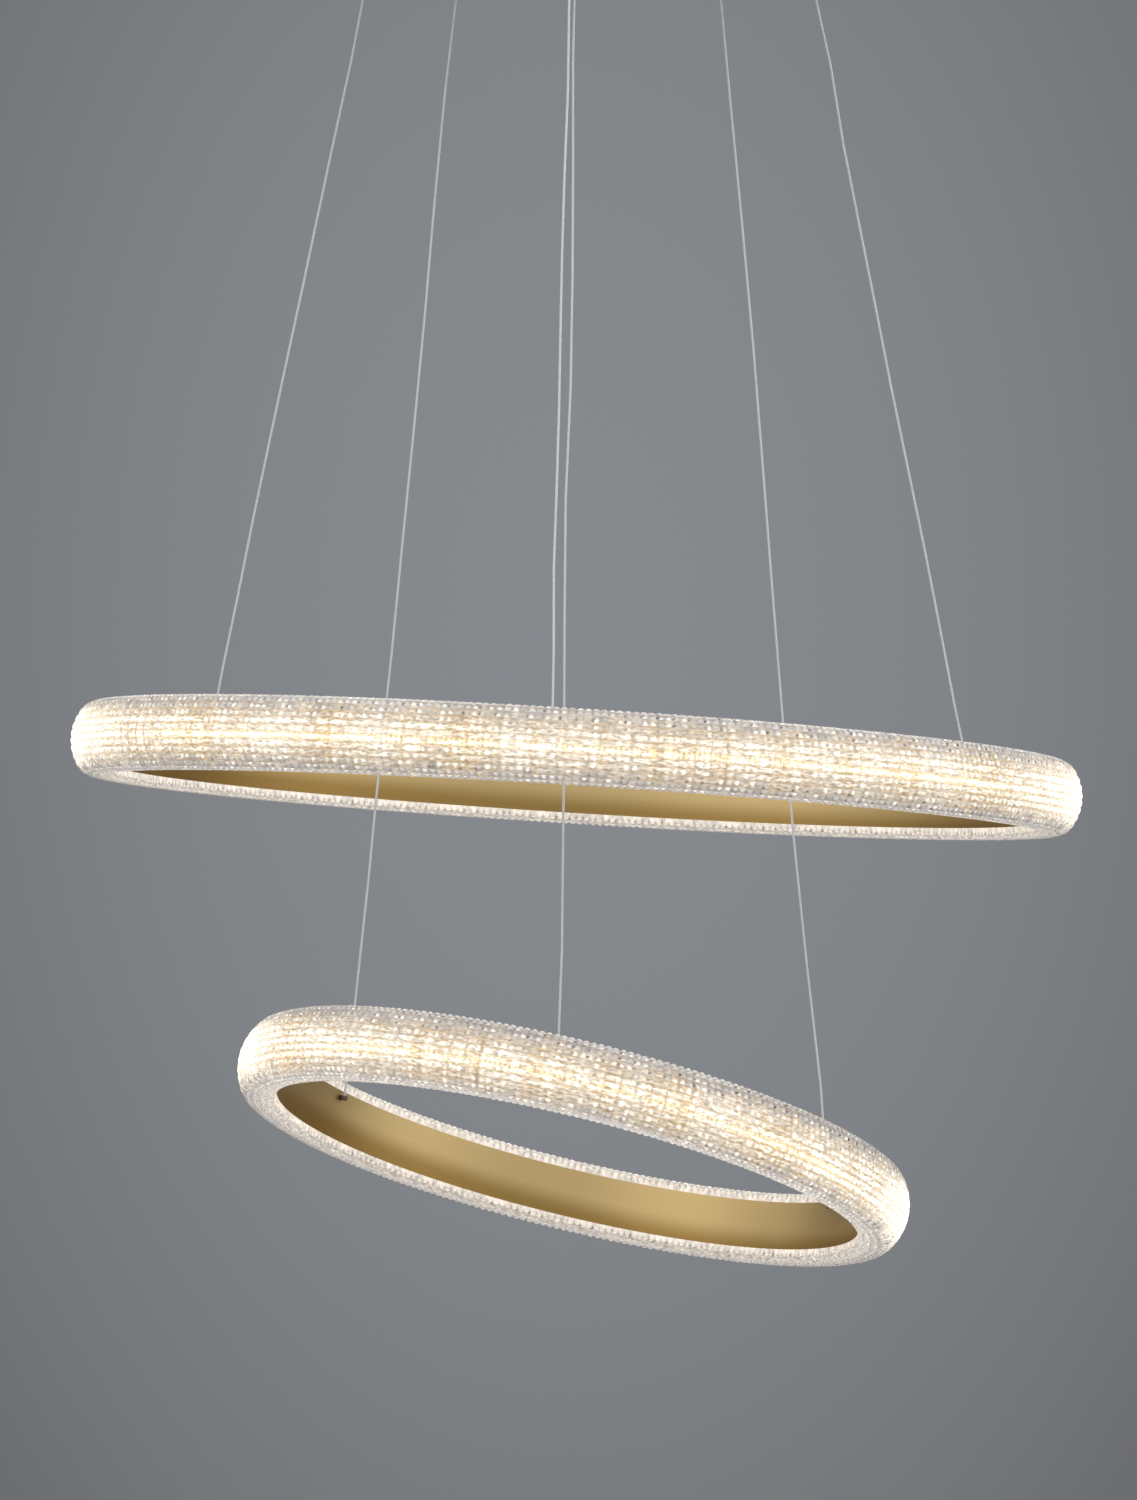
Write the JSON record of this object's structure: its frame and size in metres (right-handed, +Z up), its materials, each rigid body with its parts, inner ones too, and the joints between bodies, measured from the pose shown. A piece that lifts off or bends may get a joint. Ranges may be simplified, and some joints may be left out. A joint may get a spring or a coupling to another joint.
{
  "type": "pendant light",
  "caption": "Ceiling pendant light: tilted lit rings with a beaded clear outer face and a gold inner band, hung on thin cables from a round canopy.",
  "frame": {"origin": "middle of the ceiling face, in the plane of the bracket's top", "axes": "+Z up into the ceiling, along the plumb line; -Y towards the viewer, at the front cables; +X to the right"},
  "size_m": [0.5992, 0.5996, 0.8304],
  "materials": {
    "zinc_steel": "zinc plated sheet steel, satin",
    "black_rubber": "moulded, matt",
    "gold_enamel": "satin champagne gold enamel on sheet steel",
    "brass": "turned brass, satin",
    "white_plastic": "moulded, fine grain",
    "grey_plastic": "moulded, fine grain",
    "block_plastic": "moulded nylon",
    "red_lead": "extruded insulation",
    "brown_lead": "extruded insulation",
    "clear_sheath": "clear extruded sheath over a tinned conductor",
    "bronze": "dark bronze plate",
    "black_nylon": "moulded nylon",
    "gold_aluminium": "rolled and anodised champagne gold, satin",
    "crystal_acrylic": "clear acrylic with moulded beads",
    "led_strip": "white lacquered strip with warm white chips",
    "tinned_wire": "tinned copper"
  },
  "bodies": {
    "canopy": {"ceiling_bracket": "zinc_steel", "inlet_grommet": "black_rubber", "canopy_pan": "gold_enamel", "canopy_screws": "brass", "driver_case": "white_plastic", "driver_end_caps": "grey_plastic", "driver_nuts": "zinc_steel", "cable_block": "block_plastic", "mains_block": "block_plastic", "earth_nut": "zinc_steel", "cable_tails": "clear_sheath", "output_leads": "red_lead", "mains_leads": "brown_lead", "grip_lock_nuts": "brass", "upper_front_grip": "brass", "upper_right_grip": "brass", "upper_left_grip": "brass", "lower_front_grip": "brass", "lower_right_grip": "brass", "lower_left_grip": "brass"},
    "upper_front_plunger": {"upper_front_plunger": "brass"},
    "upper_right_plunger": {"upper_right_plunger": "brass"},
    "upper_left_plunger": {"upper_left_plunger": "brass"},
    "lower_front_plunger": {"lower_front_plunger": "brass"},
    "lower_right_plunger": {"lower_right_plunger": "brass"},
    "lower_left_plunger": {"lower_left_plunger": "brass"},
    "upper_front_cable": {"upper_front_cable": "clear_sheath"},
    "upper_right_cable": {"upper_right_cable": "clear_sheath"},
    "upper_left_cable": {"upper_left_cable": "clear_sheath"},
    "lower_front_cable": {"lower_front_cable": "clear_sheath"},
    "lower_right_cable": {"lower_right_cable": "clear_sheath"},
    "lower_left_cable": {"lower_left_cable": "clear_sheath"},
    "upper_ring": {"upper_channel": "gold_aluminium", "upper_diffuser": "crystal_acrylic", "upper_light_strip": "led_strip", "upper_bushes": "black_nylon", "upper_studs": "bronze", "upper_feed_wires": "tinned_wire"},
    "lower_ring": {"lower_channel": "gold_aluminium", "lower_diffuser": "crystal_acrylic", "lower_light_strip": "led_strip", "lower_bushes": "black_nylon", "lower_studs": "bronze", "lower_feed_wires": "tinned_wire"}
  },
  "joints": [
    {"name": "upper_sway", "type": "hinge", "parent": "canopy", "child": "upper_front_cable", "pos_m": [-0.00819, -0.15804, -0.054], "axis": [0, 1, 0], "range_deg": [-4.8, 4.8]},
    {"name": "upper_ring_level", "type": "hinge", "parent": "upper_front_cable", "child": "upper_ring", "pos_m": [-0.01396, -0.26934, -0.50801], "axis": [0, 1, 0], "range_deg": [-2.9, 2.9]},
    {"name": "upper_right_swing", "type": "hinge", "parent": "canopy", "child": "upper_right_cable", "pos_m": [0.13794, 0.06987, -0.054], "axis": [0, 1, 0], "range_deg": [-4.7, 4.7]},
    {"name": "upper_left_swing", "type": "hinge", "parent": "canopy", "child": "upper_left_cable", "pos_m": [-0.13176, 0.0866, -0.054], "axis": [0, 1, 0], "range_deg": [-4.8, 4.8]},
    {"name": "lower_sway", "type": "hinge", "parent": "canopy", "child": "lower_front_cable", "pos_m": [-0.00501, -0.09229, -0.054], "axis": [0, 1, 0], "range_deg": [-4.5, 4.5]},
    {"name": "lower_ring_level", "type": "hinge", "parent": "lower_front_cable", "child": "lower_ring", "pos_m": [-0.00903, -0.16627, -0.69613], "axis": [0, 1, 0], "range_deg": [-2.6, 2.6]},
    {"name": "lower_right_swing", "type": "hinge", "parent": "canopy", "child": "lower_right_cable", "pos_m": [0.08066, 0.03593, -0.054], "axis": [0, 1, 0], "range_deg": [-4.2, 4.2]},
    {"name": "lower_left_swing", "type": "hinge", "parent": "canopy", "child": "lower_left_cable", "pos_m": [-0.0753, 0.05658, -0.054], "axis": [0, 1, 0], "range_deg": [-4.4, 4.4]},
    {"name": "upper_front_release", "type": "slide", "parent": "canopy", "child": "upper_front_plunger", "axis": [0, 0, 1], "range_m": [0, 0.0015], "stiffness_N_per_m": 300, "springref_m": -0.002},
    {"name": "upper_right_release", "type": "slide", "parent": "canopy", "child": "upper_right_plunger", "axis": [0, 0, 1], "range_m": [0, 0.0015], "stiffness_N_per_m": 300, "springref_m": -0.002},
    {"name": "upper_left_release", "type": "slide", "parent": "canopy", "child": "upper_left_plunger", "axis": [0, 0, 1], "range_m": [0, 0.0015], "stiffness_N_per_m": 300, "springref_m": -0.002},
    {"name": "lower_front_release", "type": "slide", "parent": "canopy", "child": "lower_front_plunger", "axis": [0, 0, 1], "range_m": [0, 0.0015], "stiffness_N_per_m": 300, "springref_m": -0.002},
    {"name": "lower_right_release", "type": "slide", "parent": "canopy", "child": "lower_right_plunger", "axis": [0, 0, 1], "range_m": [0, 0.0015], "stiffness_N_per_m": 300, "springref_m": -0.002},
    {"name": "lower_left_release", "type": "slide", "parent": "canopy", "child": "lower_left_plunger", "axis": [0, 0, 1], "range_m": [0, 0.0015], "stiffness_N_per_m": 300, "springref_m": -0.002}
  ],
  "couplings": [
    {"joint": "upper_ring_level", "follows": "upper_sway", "ratio": -0.58676},
    {"joint": "upper_right_swing", "follows": "upper_sway", "ratio": 0.96463},
    {"joint": "upper_left_swing", "follows": "upper_sway", "ratio": 0.99272},
    {"joint": "lower_ring_level", "follows": "lower_sway", "ratio": -0.55505},
    {"joint": "lower_right_swing", "follows": "lower_sway", "ratio": 0.92846},
    {"joint": "lower_left_swing", "follows": "lower_sway", "ratio": 0.97207}
  ]
}
